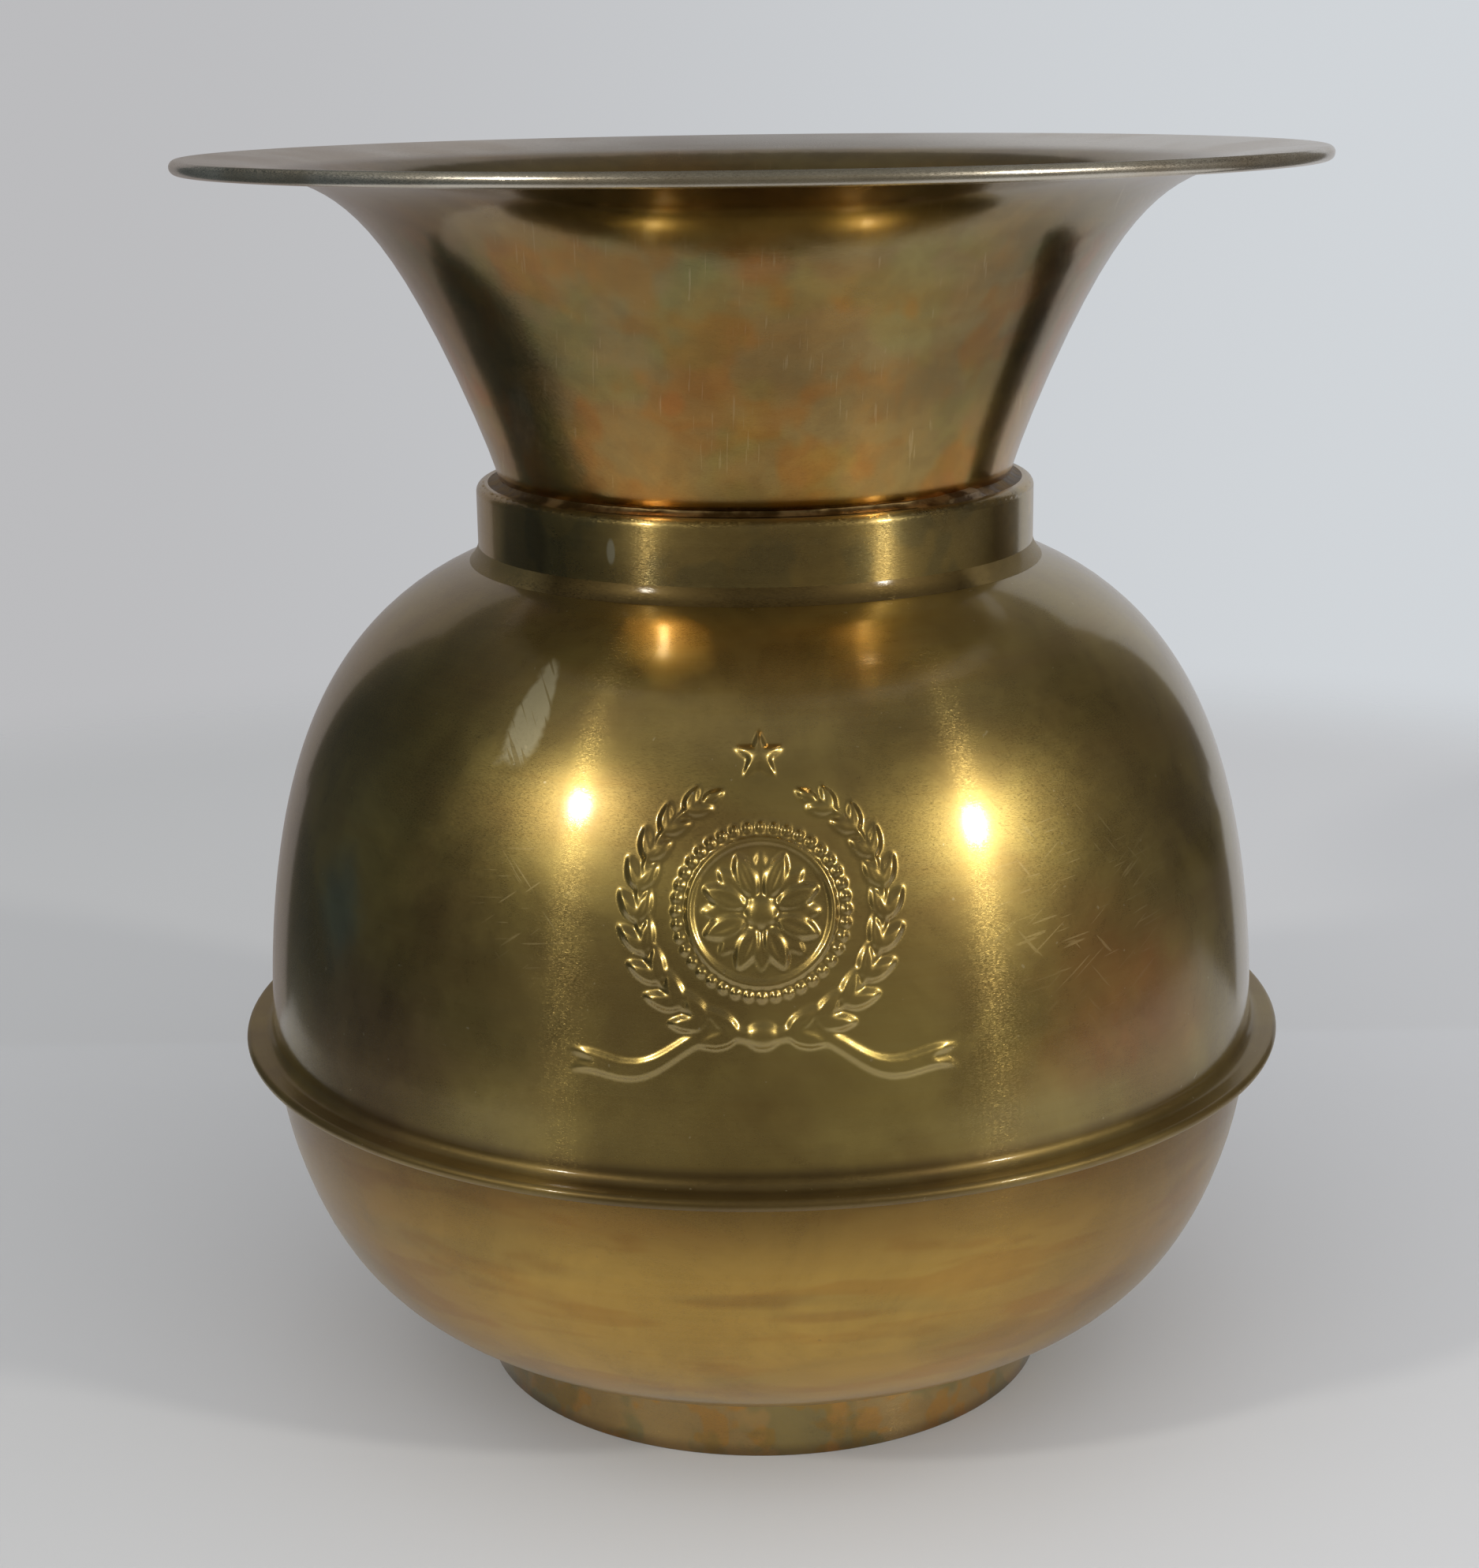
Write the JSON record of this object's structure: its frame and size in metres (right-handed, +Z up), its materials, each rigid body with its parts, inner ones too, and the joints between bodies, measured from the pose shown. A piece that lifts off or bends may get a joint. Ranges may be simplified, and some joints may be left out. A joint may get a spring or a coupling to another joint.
{
  "type": "spittoon",
  "caption": "Round brass spittoon: a broad flared mouth with a rolled rim, a short neck collar, a domed bowl made in halves with a folded belly seam, and a low foot ring.",
  "frame": {"origin": "centre of the base, on the surface that the foot stands on", "axes": "+Z up along the axis that every piece is turned about, -Y towards the decorated front"},
  "size_m": [0.238, 0.238, 0.267],
  "materials": {
    "mouth_brass": "aged, mottled orange brown patina with a dull shine",
    "collar_brass": "aged, turned, with fine lines round it",
    "dome_brass": "aged olive brown patina, fine lines round it, scuffed",
    "bowl_brass": "aged, lighter golden tan patina with faint level stains",
    "foot_brass": "dark aged patina with green and yellow stains",
    "rim_iron": "plain drawn iron wire",
    "solder": "dull soft solder, browned with age"
  },
  "bodies": {
    "root": {"mouth_funnel": "mouth_brass", "rim_wire": "rim_iron", "neck_collar": "collar_brass", "neck_solder": "solder", "upper_bowl": "dome_brass", "collar_solder": "solder", "lower_bowl": "bowl_brass", "seam_solder": "solder", "foot_ring": "foot_brass", "foot_solder": "solder"}
  },
  "joints": []
}
